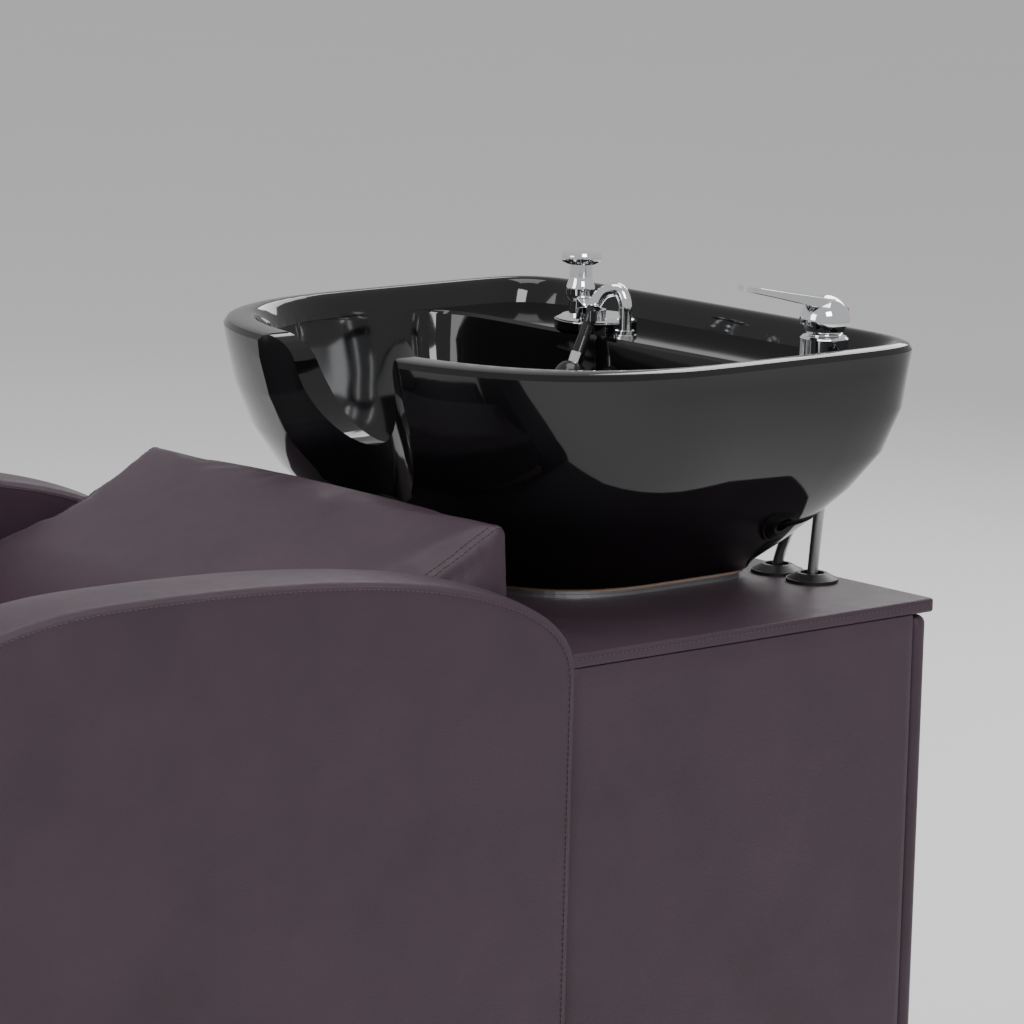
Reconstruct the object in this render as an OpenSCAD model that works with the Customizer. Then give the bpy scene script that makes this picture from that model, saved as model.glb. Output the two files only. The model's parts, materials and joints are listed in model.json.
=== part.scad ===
/* [Cabinet] */
// Width of the cabinet behind the seat
cab_w = 634; // [600:2:660]
// Height of the cabinet's top face above the floor
cab_top = 645; // [600:5:700]
// Thickness of the side, front and floor boards
board_t = 18; // [15:1:22]

/* [Seat] */
// Overall width over both armrests
arm_span = 660; // [640:2:680]
// Thickness of one armrest
arm_t = 74; // [60:1:80]
// Height of the highest point of the armrests
arm_top = 747; // [720:1:770]
// Height of the seat's top face
seat_top = 450; // [430:5:470]
// Angle of the upper backrest above level, degrees
back_angle = 22.5; // [18:0.5:28]

/* [Basin] */
// Width of the basin at its rim
basin_w = 552; // [540:2:560]
// Height of the rim above the cabinet top
rim_h = 225; // [215:1:235]
// Depth of the neck notch below the rim
notch_d = 91; // [80:1:95]
// Radius of the neck notch
notch_r = 68; // [60:1:74]

/* [Taps] */
// Radius of the mixer body
mixer_r = 22; // [20:0.5:24]
// Radius of the metal shower hose
hose_r = 6.5; // [5.5:0.5:7]
// Radius of the braided supply hoses
supply_r = 5; // [4.5:0.25:6]

/* [Hidden] */

$fn = 64;

// cabinet
cab_front = 145;
cab_back = 590;
top_t = 13;
door_t = 18;
lip = 5;
door_gap = 1;
door_y = cab_back - lip - door_t;
cab_z = 50;
side_h = cab_top - top_t - cab_z;
hw = cab_w / 2;

// armrests: two superellipse quarters joined at the crest
arm_y0 = -330;
arm_back = 145;
arm_front = -631;
arm_z = 40;
arm_hr = 120;
arm_hf = 230;
arm_x = arm_span / 2;

// seat and backrest
in_w = arm_span - 2 * arm_t;
cush_w = in_w - 12;
seat_front = -612;
seat_t = 110;
seat_back = -150;

// basin rings: height above its foot, half width, front y, rear y
foot_z = cab_top + 9;
rim_z = cab_top + rim_h - 2;
bw = basin_w / 2;
deck_z = cab_top + 201;
n_front = 2.6;
n_rear = 9;
basin_back = 631;
drain_y = 338;

// mixer, column and hose stations
mix = [208, 547];
mix_pivot = deck_z + 41;
lev_az = 20;
lev_el = 7;
col = [-88, 519];
plate_c = [-77, 529];
boss_h = 8;
col_z = deck_z + boss_h;
ferr = [-18, 512];
h_top = [-40, 492, cab_top + 226];
h_tilt = 24;

// tilt hinge
ax_y = 541;
ax_z = cab_top + 7;

leather = [0.27, 0.19, 0.20];
ply = [0.74, 0.60, 0.42];
glaze = [0.02, 0.02, 0.02];
chrome = [0.80, 0.81, 0.83];
steel = [0.60, 0.61, 0.62];
black = [0.06, 0.06, 0.06];

// ---- helpers ----
function sgn_pow(v, e) = sign(v) * pow(abs(v), e);
// one ring of a rounded rectangle, blunter at the rear than at the front
function ring(z, a, yf, yr, m) = [for (i = [0:m - 1])
  let (t = 360 * i / m, n = sin(t) > 0 ? n_rear : n_front)
  [a * sgn_pow(cos(t), 2 / n), (yf + yr) / 2 + (yr - yf) / 2 * sgn_pow(sin(t), 2 / n), z]];
// closed solid through a list of rings, [z, half width, front, rear]
module loft(rs, m = 64) {
  pts = [for (r = rs) each ring(r[0], r[1], r[2], r[3], m)];
  k = len(rs);
  side = [for (j = [0:k - 2], i = [0:m - 1]) let (p = j * m + i, q = j * m + (i + 1) % m)
    each [[p, p + m, q], [q, p + m, q + m]]];
  caps = [[for (i = [0:m - 1]) i], [for (i = [m - 1:-1:0]) (k - 1) * m + i]];
  polyhedron(points = pts, faces = concat(side, caps), convexity = 6);
}
function unit(v) = v / norm(v);
function bez(p, t) = let (a = 1 - t)
  a * a * a * p[0] + 3 * a * a * t * p[1] + 3 * a * t * t * p[2] + t * t * t * p[3];
// Catmull-Rom point on a route
function cr(p, i, t) = let (n = len(p) - 1, a = p[max(i - 1, 0)], b = p[i], c = p[i + 1],
  d = p[min(i + 2, n)])
  0.5 * ((2 * b) + (c - a) * t + (2 * a - 5 * b + 4 * c - d) * t * t
  + (3 * b - a - 3 * c + d) * t * t * t);
function route(p, per) = concat([for (i = [0:len(p) - 2], k = [0:per - 1]) cr(p, i, k / per)],
  [p[len(p) - 1]]);
// tube swept along a route whose frames keep the same reference direction
module sweep(p, r, ref, m = 10) {
  n = len(p);
  tan = [for (i = [0:n - 1]) unit(p[min(i + 1, n - 1)] - p[max(i - 1, 0)])];
  pts = [for (i = [0:n - 1]) let (u = unit(cross(tan[i], ref)), w = cross(u, tan[i]))
    each [for (k = [0:m - 1]) p[i] + r * (cos(360 * k / m) * u + sin(360 * k / m) * w)]];
  side = [for (j = [0:n - 2], i = [0:m - 1]) let (a = j * m + i, b = j * m + (i + 1) % m)
    each [[a, b, a + m], [b, b + m, a + m]]];
  polyhedron(points = pts, faces = concat(side, [[for (i = [m - 1:-1:0]) i],
    [for (i = [0:m - 1]) (n - 1) * m + i]]), convexity = 6);
}
// box between two x, y and z pairs
module slab(x, y, z) translate([x[0], y[0], z[0]]) cube([x[1] - x[0], y[1] - y[0], z[1] - z[0]]);
// profile drawn in (y, z), extruded along x
module along_x(x0, x1) translate([x0, 0, 0]) rotate([90, 0, 90]) linear_extrude(x1 - x0) children();

// ---- armrests ----
function arm_edge() = concat(
  [for (a = [0:6:90]) [arm_y0 + (arm_back - arm_y0) * pow(cos(a), 2 / 2.4),
    arm_top - arm_hr + arm_hr * pow(sin(a), 2 / 2.4)]],
  [for (a = [84:-6:0]) [arm_y0 - (arm_y0 - arm_front) * pow(cos(a), 2 / 2.4),
    arm_top - arm_hf + arm_hf * pow(sin(a), 2 / 2.4)]],
  [[arm_front + 12, arm_z], [arm_back, arm_z]]);
module armrest() along_x(arm_x - arm_t, arm_x) polygon(arm_edge());
module right_armrest() color(leather) armrest();
module left_armrest() color(leather) mirror([1, 0, 0]) armrest();

// ---- seat ----
module seat_cushion() color(leather) along_x(-cush_w / 2, cush_w / 2) difference() {
  translate([seat_front, seat_top - seat_t]) square([seat_back - seat_front, seat_t]);
  translate([seat_front, seat_top]) rotate(45) square(30, center = true);
}
module seat_board() color(ply)
  slab([-in_w / 2, in_w / 2], [seat_front + 12, 120], [seat_top - seat_t - board_t, seat_top - seat_t]);
module seat_front_apron() color(leather)
  slab([-in_w / 2, in_w / 2], [seat_front + 12, seat_front + 12 + 24],
    [arm_z + 30, seat_top - seat_t - board_t]);
// two hardwood rails screwed to the insides of the armrests carry the seat board
module seat_bearers() color(ply) for (s = [-1, 1])
  slab([s * (in_w / 2 - 18) - 18, s * (in_w / 2 - 18) + 18], [seat_front + 45, 120],
    [seat_top - seat_t - board_t - 45, seat_top - seat_t - board_t]);

// ---- backrest ----
bk_top = [138, 750];
bk_len = 190;
bk_knee = [bk_top[0] - bk_len * cos(back_angle), bk_top[1] - bk_len * sin(back_angle)];
bk_foot = [-150, seat_top + 4];
bk_back = 149;
board_top = seat_top - seat_t;
bk_heel = [bk_foot[0] + 150, bk_foot[1] + 92];
// height of the cushion's underside at a given y
function under_back(y) = bk_heel[1] + (y - bk_heel[0]) * (bk_top[1] - 70 - bk_heel[1])
  / (bk_back - bk_heel[0]);
module backrest_cushion() color(leather) along_x(-cush_w / 2, cush_w / 2) polygon(concat(
  [[bk_back, bk_top[1] - 70], [bk_back, bk_top[1] - 10], [bk_back - 4, bk_top[1] - 2], bk_top],
  [for (t = [0:0.1:1]) bez([[bk_knee[0], bk_knee[1]], [bk_knee[0] - 62, bk_knee[1] - 26],
    [bk_foot[0] - 8, bk_foot[1] + 110], [bk_foot[0], bk_foot[1]]], t)],
  [[bk_heel[0] - 32, bk_foot[1]], bk_heel]));
module backrest_board() color(ply) along_x(-cush_w / 2 + 12, cush_w / 2 - 12) polygon([
  [bk_back - 3, under_back(bk_back - 3)], [bk_heel[0] + 4, under_back(bk_heel[0] + 4)],
  [bk_heel[0] + 4, under_back(bk_heel[0] + 4) - board_t],
  [bk_back - 3, under_back(bk_back - 3) - board_t]]);
// two steel angles carry the backrest board from the seat board
module backrest_brackets() color(steel) for (s = [-1, 1])
  along_x(s * 180 - 20, s * 180 + 20) polygon([[20, board_top], [65, board_top],
    [65, under_back(65) - board_t], [60, under_back(60) - board_t], [60, board_top + 5],
    [20, board_top + 5]]);

// ---- cabinet ----
module side_panel() slab([hw - board_t, hw], [cab_front, door_y - door_gap], [cab_z, cab_top - top_t]);
module cabinet_right_panel() color(leather) side_panel();
module cabinet_left_panel() color(leather) mirror([1, 0, 0]) side_panel();
module cabinet_front_panel() color(ply)
  slab([-hw + board_t, hw - board_t], [cab_front + 1, cab_front + 1 + board_t], [cab_z, cab_top - top_t]);
// the floor board is open at the rear, where the waste and the supplies come up
module cabinet_floor() color(ply) difference() {
  slab([-hw + board_t, hw - board_t], [cab_front + 1 + board_t, door_y - door_gap], [cab_z, cab_z + board_t]);
  slab([-90, 240], [270, door_y + 1], [cab_z - 1, cab_z + board_t + 1]);
}
grom = [[197, 554], [147, 558]];
grom_hole = 15;
module cabinet_top_board() color(leather) difference() {
  slab([-hw, hw], [cab_front, cab_back], [cab_top - top_t, cab_top]);
  for (g = grom) translate([g[0], g[1], cab_top - top_t - 1]) cylinder(r = grom_hole, h = top_t + 2);
  base_openings(cab_top - top_t - 1, top_t + 2);
}
// waste opening and hose slot shared by the board and the tilt plates
module base_openings(z, h) {
  translate([0, drain_y, z]) cylinder(r = 52, h = h);
  for (x = [-30, 55]) translate([x, 478, z]) cylinder(r = 24, h = h);
  translate([-30, 454, z]) cube([85, 48, h]);
}

// ---- service door ----
hinge_x = -hw - 4;
hinge_y = door_y - door_gap / 2;
hinge_zs = [180, 520];
hinge_h = 60;
module service_door() color(leather)
  slab([-hw + 1.5, hw - 1.5], [door_y, door_y + door_t], [cab_z + 2, cab_top - top_t - 2]);
knuckle_h = 19.7;
// one hinge barrel with the leaf given as a child
module knuckle(z) difference() {
  union() {
    translate([hinge_x, hinge_y, z]) cylinder(r = 3.5, h = knuckle_h);
    children();
  }
  translate([hinge_x, hinge_y, z - 1]) cylinder(r = 2.05, h = knuckle_h + 2);
}
module door_hinge_fixed_leaves() color(steel) for (z = hinge_zs) for (k = [0, 1])
  knuckle(z + k * 40) union() {
    slab([-hw - 1.5, -hw], [hinge_y - 28, hinge_y - 1], [z + k * 40, z + k * 40 + knuckle_h]);
    slab([hinge_x, -hw], [hinge_y - 3.4, hinge_y - 1.2], [z + k * 40, z + k * 40 + knuckle_h]);
  }
module door_hinge_moving_leaves() color(steel) for (z = hinge_zs)
  knuckle(z + 20) union() {
    slab([-hw, -hw + 1.5], [hinge_y + 1, hinge_y + 17], [z + 20, z + 20 + knuckle_h]);
    slab([hinge_x, -hw + 1], [hinge_y + 1.2, hinge_y + 3.2], [z + 20, z + 20 + knuckle_h]);
  }
module door_hinge_pins() color(steel) for (z = hinge_zs)
  translate([hinge_x, hinge_y, z - 2]) cylinder(r = 2, h = 64);
module door_catch_magnet() color(black)
  slab([hw - board_t - 16, hw - board_t], [door_y - 30, door_y - 1.25], [330, 370]);
module door_strike_plate() color(steel)
  slab([hw - board_t - 15, hw - board_t - 1], [door_y - 1.2, door_y], [334, 366]);

// ---- glides ----
module glide_feet() color(black) {
  for (s = [-1, 1]) {
    for (y = [cab_front + 40, door_y - 50]) {
      translate([s * (hw - 60), y, 0]) cylinder(r = 22, h = 12);
      translate([s * (hw - 60), y, 12]) cylinder(r = 10, h = cab_z - 12);
    }
    for (y = [arm_front + 60, arm_back - 120]) {
      translate([s * (arm_x - arm_t / 2), y, 0]) cylinder(r = 22, h = 12);
      translate([s * (arm_x - arm_t / 2), y, 12]) cylinder(r = 10, h = arm_z - 12);
    }
  }
}

// ---- tilt plates under the basin ----
plate_x = 152;
plate_f = 267;
plate_b = 526;
kn = [60, 84, 108];
module plate_shape(z, t) difference() {
  translate([0, 0, z]) linear_extrude(t)
    polygon([for (p = ring(0, plate_x, plate_f, plate_b, 72)) [p[0], p[1]]]);
  base_openings(z - 1, t + 2);
}
module tilt_knuckle(s, x0, x1, z0, z1) difference() {
  union() {
    translate([min(s * x0, s * x1), ax_y, ax_z]) rotate([0, 90, 0]) cylinder(r = 5.5, h = x1 - x0);
    slab([min(s * x0, s * x1), max(s * x0, s * x1)], [plate_b - 22, ax_y], [z0, z1]);
  }
  translate([-200, ax_y, ax_z]) rotate([0, 90, 0]) cylinder(r = 3.05, h = 400);
}
module tilt_base_plate() color(steel) {
  plate_shape(cab_top, 3);
  for (s = [-1, 1]) tilt_knuckle(s, kn[0], kn[1] - 0.3, cab_top + 1.5, cab_top + 3);
}
module tilt_top_plate() color(steel) {
  plate_shape(cab_top + 3.3, 3);
  for (s = [-1, 1]) tilt_knuckle(s, kn[1], kn[2], cab_top + 3.3, cab_top + 6.3);
}
module tilt_hinge_pins() color(steel) for (s = [-1, 1])
  translate([min(s * (kn[0] - 3), s * (kn[2] + 3)), ax_y, ax_z]) rotate([0, 90, 0])
    cylinder(r = 3, h = kn[2] - kn[0] + 6);
module tilt_plate_screws() color(steel) for (s = [-1, 1], y = [plate_f + 60, plate_b - 40])
  translate([s * (plate_x - 26), y, cab_top - top_t - 9]) {
    cylinder(r = 3, h = 9);
    rotate(30) cylinder(r = 7, h = 5, $fn = 6);
  }
module foot_gasket() color([0.75, 0.62, 0.50]) difference() {
  loft([[cab_top + 6.3, 156, 266, 527], [foot_z, 156, 266, 527]]);
  loft([[cab_top + 5, 138, 284, 434], [foot_z + 1, 138, 284, 434]]);
  translate([0, 0, cab_top + 5]) slab([-60, 90], [450, 506], [0, 10]);
}

// ---- basin ----
function outer_rings() = [[foot_z, 158, 262, 530], [foot_z + 8, 163, 257, 534],
  [foot_z + 27, 187, 238, 548], [foot_z + 52, 215, 213, 564], [foot_z + 82, 244, 186, 584],
  [foot_z + 116, 263, 163, 608], [foot_z + 156, 272, 145, 624], [deck_z, bw - 2, 134, basin_back - 2],
  [rim_z - 6, bw, 131, basin_back], [rim_z - 1, bw - 3, 134, basin_back - 2],
  [rim_z + 1, bw - 8, 139, basin_back - 6]];
function bowl_rings() = [[cab_top + 31, 60, 290, 386], [cab_top + 35, 110, 270, 404],
  [cab_top + 45, 152, 256, 424], [cab_top + 65, 188, 240, 446], [cab_top + 95, 214, 222, 465],
  [cab_top + 135, 235, 206, 482], [cab_top + 175, 246, 192, 488], [deck_z - 3, 251, 181, 492],
  [deck_z + 0.5, 252, 179, 496]];
function top_rings() = [[deck_z, 252, 179, 607], [deck_z + 10, 255, 173, 610],
  [rim_z - 4, 258, 166, 613], [rim_z - 0.5, 261, 162, 617], [rim_z + 3, 267, 155, 624]];
function chamber_rings() = [[foot_z - 2, 104, 446, 514], [foot_z + 36, 122, 440, 528],
  [foot_z + 76, 165, 480, 550], [foot_z + 116, 232, 498, 578], [deck_z - 16, 246, 502, 596]];
function notch_edge() = let (zc = rim_z - notch_d + notch_r) concat(
  [for (a = [180:9:360]) [notch_r * cos(a), zc + notch_r * sin(a)]],
  [for (a = [180:-15:105]) [notch_r + 26 + 26 * cos(a), rim_z - 25 + 26 * sin(a)]],
  [[notch_r + 22, rim_z + 20], [-notch_r - 22, rim_z + 20]],
  [for (a = [75:-15:0]) [-notch_r - 26 + 26 * cos(a), rim_z - 25 + 26 * sin(a)]]);
scoop_r = 190;
scoop_tilt = 14;
module basin() color(glaze) difference() {
  loft(outer_rings(), 72);
  difference() {
    loft(top_rings(), 72);
    translate([plate_c[0], plate_c[1], deck_z - 5]) cylinder(r = 39, h = boss_h + 5);
  }
  loft(bowl_rings(), 72);
  loft(chamber_rings(), 48);
  translate([0, 215, 0]) rotate([90, 0, 0]) linear_extrude(140) polygon(notch_edge());
  translate([0, 131 - scoop_r + 27, rim_z]) rotate([scoop_tilt, 0, 0])
    translate([0, 0, -190]) cylinder(r = scoop_r, h = 230, $fn = 128);
  translate([0, drain_y, foot_z - 2]) cylinder(r = 62, h = 12);
  translate([0, drain_y, foot_z]) cylinder(r = 24, h = 60);
  translate([mix[0], mix[1], deck_z - 30]) cylinder(r = 17, h = 40);
  translate([col[0], col[1], deck_z - 30]) cylinder(r = 9, h = 60);
  translate([ferr[0], ferr[1], deck_z - 30]) cylinder(r = 8, h = 40);
  for (x = [160, 206]) translate([x, 553, foot_z - 10]) cylinder(r = 13, h = 150);
  translate([160, 540, foot_z - 10]) cube([46, 26, 150]);
}

// ---- waste ----
module drain_flange() color(chrome) translate([0, drain_y, 0]) difference() {
  union() {
    translate([0, 0, cab_top + 31]) cylinder(r = 34, h = 3);
    translate([0, 0, foot_z - 14]) cylinder(r = 23.9, h = cab_top + 32 - foot_z + 14);
  }
  translate([0, 0, foot_z - 20]) cylinder(r = 19, h = 60);
  translate([0, 0, cab_top + 31]) cylinder(r = 27, h = 5);
}
module drain_strainer() color(chrome) translate([0, drain_y, cab_top + 31]) difference() {
  union() {
    cylinder(r = 26.5, h = 2);
    translate([0, 0, 2]) cylinder(r = 5, h = 8);
    translate([0, 0, -14]) cylinder(r = 18.6, h = 14);
  }
  translate([0, 0, -15]) cylinder(r = 17, h = 15);
  for (a = [0:45:315]) rotate(a) translate([11, 0, -1]) cylinder(r = 2.6, h = 5);
}
module drain_nut() color(chrome) translate([0, drain_y, foot_z - 3.5]) difference() {
  cylinder(r = 34, h = 13, $fn = 6);
  translate([0, 0, -1]) cylinder(r = 23.9, h = 20);
}
module drain_tailpiece() color(chrome) translate([0, drain_y, 0]) difference() {
  translate([0, 0, cab_top - 115]) cylinder(r = 20, h = foot_z - 14 - cab_top + 115);
  translate([0, 0, cab_top - 120]) cylinder(r = 17.5, h = 140);
}

// ---- mixer ----
module mixer_base_ring() color(chrome) translate([mix[0], mix[1], deck_z]) cylinder(r = mixer_r + 3, h = 4);
module mixer_body() color(chrome) translate([mix[0], mix[1], 0]) {
  translate([0, 0, deck_z + 4]) cylinder(r = mixer_r, h = 21);
  translate([0, 0, deck_z + 25]) cylinder(r1 = mixer_r, r2 = mixer_r - 2, h = 2);
}
module mixer_cartridge_cap() color(chrome) translate([mix[0], mix[1], 0]) intersection() {
  translate([0, 0, mix_pivot]) sphere(r = mixer_r - 2.1);
  translate([0, 0, deck_z + 27.3]) cylinder(r = 40, h = 60);
}
mark_z = 8;
// lever hood over the cartridge cap, with a blade that rises forward
module mixer_lever() color(chrome) translate([mix[0], mix[1], mix_pivot]) rotate(-lev_az) difference() {
  union() {
    intersection() {
      sphere(r = mixer_r + 1);
      translate([0, 0, -3]) cylinder(r = 40, h = 60);
    }
    rotate([-lev_el, 0, 0]) {
      hull() {
        translate([0, -8, 12]) cylinder(r = 15, h = 9);
        translate([0, -46, 16]) cylinder(r = 12, h = 6);
      }
      hull() {
        translate([0, -46, 16]) cylinder(r = 12, h = 6);
        translate([0, -76, 19]) cylinder(r = 13, h = 4.5);
      }
    }
  }
  sphere(r = mixer_r - 1.5);
  translate([0, 0, mark_z]) rotate([90, 0, 0]) translate([0, 0, -30]) cylinder(r = 3.6, h = 13);
}
module mixer_mark_plug() color([0.55, 0.1, 0.12]) translate([mix[0], mix[1], mix_pivot])
  rotate(-lev_az) translate([0, 22.2, mark_z]) rotate([90, 0, 0]) cylinder(r = 3.4, h = 2.5);
module mixer_fixing_nut() color(steel) translate([mix[0], mix[1], 0]) difference() {
  union() {
    translate([0, 0, deck_z - 26]) cylinder(r = 16, h = 10);
    translate([0, 0, deck_z - 30]) cylinder(r = 14, h = 30);
  }
  for (s = [-1, 1]) translate([s * 6.5, 3, deck_z - 31]) cylinder(r = supply_r + 0.05, h = 12);
}

// ---- column with the holder ----
module column_plate() color(chrome) translate([plate_c[0], plate_c[1], col_z]) difference() {
  union() {
    cylinder(r = 37, h = 1.5);
    translate([0, 0, 1.5]) cylinder(r1 = 37, r2 = 32, h = 2.5);
  }
  translate([col[0] - plate_c[0], col[1] - plate_c[1], -1]) cylinder(r = 8.05, h = 6);
}
module column_body() color(chrome) translate([col[0], col[1], 0]) rotate_extrude() polygon([
  [0, deck_z - 34], [8, deck_z - 34], [8, col_z + 4], [10.5, col_z + 4], [10.5, col_z + 17],
  [13, col_z + 21], [13.5, col_z + 30], [11, col_z + 38], [10.5, col_z + 52], [0, col_z + 52]]);
module column_cap() color(chrome) translate([col[0], col[1], col_z + 52]) rotate_extrude() polygon([
  [0, 0], [14, 0], [18, 2], [18.8, 4], [18.8, 8], [17.5, 11], [0, 12.5]]);
module column_nut() color(steel) translate([col[0], col[1], deck_z - 28]) difference() {
  cylinder(r = 15, h = 12, $fn = 6);
  translate([0, 0, -1]) cylinder(r = 8.05, h = 20);
}
// arm from the column that ends in an open cradle for the handset
hold_z = h_top[2] - 8;
cradle_r = 10.5;
module handset_holder() color(chrome) difference() {
  union() {
    hull() {
      translate([col[0] + 12, col[1] - 5, hold_z]) cylinder(r = 8, h = 12);
      translate([h_top[0] - 13, h_top[1] + 6, hold_z]) cylinder(r = 6, h = 9);
    }
    translate([h_top[0], h_top[1] - 3, hold_z - 2]) cylinder(r = cradle_r + 3.5, h = 10);
  }
  translate([col[0], col[1], hold_z - 20]) cylinder(r = 14, h = 60);
  translate([h_top[0], h_top[1] - 3, hold_z - 12]) cylinder(r = cradle_r, h = 40);
  translate([h_top[0] - 8.5, h_top[1] - 40, hold_z - 12]) cube([17, 37, 40]);
}
module hose_ferrule() color(chrome) translate([ferr[0], ferr[1], deck_z]) difference() {
  union() {
    cylinder(r = 11, h = 2);
    translate([0, 0, 2]) cylinder(r = 9, h = 4);
    translate([0, 0, -12]) cylinder(r = 7.9, h = 12);
  }
  translate([0, 0, -13]) cylinder(r = hose_r + 0.3, h = 30);
}
hose_pts = [[-40, 492.4, 872.2], [-40, 494.4, 876.6], [-36, 501, 886], [-26, 510, 889], [-19, 512, 878],
  [-18, 512, 860], [-18, 512, 820], [-20, 511, 780], [-26, 500, 735], [-30, 484, 690],
  [-30, 478, 640], [-30, 478, 520], [-22, 478, 420], [12, 478, 370], [47, 478, 420],
  [55, 478, 520], [55, 478, 640], [56, 484, 690], [60, 502, 735], [85, 524, 765],
  [130, 534, 772], [175, 538, 772], [202, 540, 782], [208, 540, 800], [208, 540, 816]];
module shower_hose() color(chrome) sweep(route(hose_pts, 2), hose_r, [0.31, 0.95, 0.05]);

// ---- handset, hanging by its handle ----
module on_handle(d) translate(h_top) rotate([-h_tilt, 0, 0]) translate([0, 0, -d]) children();
module handset_handle() color(black) on_handle(44) rotate_extrude() polygon([
  [0, 0], [6.5, 0], [5.6, 16], [5.4, 30], [6.4, 40], [6.4, 44], [0, 44]]);
module handset_collar() color(chrome) on_handle(54) cylinder(r = 7, h = 10);
module handset_head() color(black) on_handle(84) rotate_extrude() polygon(concat(
  [[0, 0], [17.5, 0], [17.8, 6]], [for (a = [15:15:75]) [6.5 + 11.3 * cos(a), 6 + 24 * sin(a)]],
  [[6.5, 30], [0, 30]]));
module handset_spray_face() color([0.5, 0.5, 0.52]) on_handle(86) difference() {
  cylinder(r = 15, h = 2);
  for (a = [0:60:300]) rotate(a) translate([9, 0, -1]) cylinder(r = 1, h = 2);
}

// ---- supplies ----
module supply_grommets() color(black) for (g = grom) translate([g[0], g[1], 0]) difference() {
  union() {
    translate([0, 0, cab_top]) cylinder(r = 24, h = 3);
    translate([0, 0, cab_top + 3]) cylinder(r1 = 23, r2 = 14, h = 5);
    translate([0, 0, cab_top - top_t]) cylinder(r = grom_hole, h = top_t);
  }
  translate([0, 0, cab_top - 20]) cylinder(r = supply_r + 6, h = 40);
}
hot_pts = [[214.5, 550, 816], [212, 551, 770], [204, 553, 715], [197, 554, 650], [197, 549, 560],
  [197, 548, 320]];
cold_pts = [[201.5, 550, 816], [196, 551, 770], [175, 554, 710], [147, 558, 650], [144, 550, 560],
  [144, 548, 320]];
nut_bore = 8.3;
module supply_nut(p) translate([p[0], p[1], p[2] - 24]) difference() {
  union() {
    cylinder(r = 12, h = 14, $fn = 6);
    translate([0, 0, 14]) cylinder(r = 6.5, h = 10);
  }
  translate([0, 0, -1]) cylinder(r = nut_bore, h = 11);
}
module hot_supply_hose() color(steel) sweep(route(hot_pts, 4), supply_r, [0.05, 1, 0.02]);
module cold_supply_hose() color(steel) sweep(route(cold_pts, 4), supply_r, [0.05, 1, 0.02]);
module hot_supply_nut() color(steel) supply_nut(hot_pts[5]);
module cold_supply_nut() color(steel) supply_nut(cold_pts[5]);

right_armrest();
left_armrest();
seat_cushion();
seat_board();
seat_front_apron();
seat_bearers();
backrest_cushion();
backrest_board();
backrest_brackets();
cabinet_right_panel();
cabinet_left_panel();
cabinet_front_panel();
cabinet_floor();
cabinet_top_board();
service_door();
door_hinge_fixed_leaves();
door_hinge_moving_leaves();
door_hinge_pins();
door_catch_magnet();
door_strike_plate();
glide_feet();
tilt_base_plate();
tilt_top_plate();
tilt_hinge_pins();
tilt_plate_screws();
foot_gasket();
basin();
drain_flange();
drain_strainer();
drain_nut();
drain_tailpiece();
mixer_base_ring();
mixer_body();
mixer_cartridge_cap();
mixer_lever();
mixer_mark_plug();
mixer_fixing_nut();
column_plate();
column_body();
column_cap();
column_nut();
handset_holder();
hose_ferrule();
shower_hose();
handset_handle();
handset_collar();
handset_head();
handset_spray_face();
supply_grommets();
hot_supply_hose();
cold_supply_hose();
hot_supply_nut();
cold_supply_nut();
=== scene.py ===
"""Looks of the shampoo backwash unit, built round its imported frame. Metres, +Z up."""

import json
import math

import bmesh
import bpy
import numpy as np
from mathutils import Matrix, Vector
from mathutils.bvhtree import BVHTree
from mathutils.kdtree import KDTree


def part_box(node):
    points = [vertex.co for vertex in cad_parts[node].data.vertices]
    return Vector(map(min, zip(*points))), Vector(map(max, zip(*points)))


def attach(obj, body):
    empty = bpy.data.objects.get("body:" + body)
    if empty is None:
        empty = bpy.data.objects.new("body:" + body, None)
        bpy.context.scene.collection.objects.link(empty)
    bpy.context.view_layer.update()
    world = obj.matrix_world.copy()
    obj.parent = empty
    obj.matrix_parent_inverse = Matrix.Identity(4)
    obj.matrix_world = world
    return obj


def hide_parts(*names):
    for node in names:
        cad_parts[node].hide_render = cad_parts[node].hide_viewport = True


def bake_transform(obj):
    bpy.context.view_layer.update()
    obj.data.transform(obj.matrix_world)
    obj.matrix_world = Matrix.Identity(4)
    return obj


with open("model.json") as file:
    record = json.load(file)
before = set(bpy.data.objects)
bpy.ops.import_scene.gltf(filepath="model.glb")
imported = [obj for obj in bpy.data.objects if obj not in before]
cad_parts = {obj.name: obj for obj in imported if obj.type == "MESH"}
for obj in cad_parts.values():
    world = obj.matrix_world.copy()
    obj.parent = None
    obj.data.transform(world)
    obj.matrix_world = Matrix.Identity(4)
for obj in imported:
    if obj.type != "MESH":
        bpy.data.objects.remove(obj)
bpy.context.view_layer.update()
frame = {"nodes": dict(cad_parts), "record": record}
nodes = frame["nodes"]
COLL = bpy.context.scene.collection

# ---- camera -------------------------------------------------------------------------
CAM_AT = (3.5228, -2.7990, 1.5572)
CAM_AZ, CAM_EL, CAM_ROLL = 48.108, 10.2885, 1.5054
CAM_LENS = 185.08
CAM_SENSOR = 36
CAM_CLIP = (0.1, 60)


def make_camera():
    data = bpy.data.cameras.new("camera")
    data.sensor_width = CAM_SENSOR
    data.lens = CAM_LENS
    data.clip_start, data.clip_end = CAM_CLIP
    cam = bpy.data.objects.new("camera", data)
    COLL.objects.link(cam)
    a, e = math.radians(CAM_AZ), math.radians(CAM_EL)
    back = Vector((math.sin(a) * math.cos(e), -math.cos(a) * math.cos(e), math.sin(e)))
    turn = (-back).to_track_quat("-Z", "Y").to_matrix()
    turn = turn @ Matrix.Rotation(math.radians(CAM_ROLL), 3, "Z")
    cam.matrix_world = Matrix.Translation(CAM_AT) @ turn.to_4x4()
    bpy.context.scene.camera = cam


make_camera()


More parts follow.
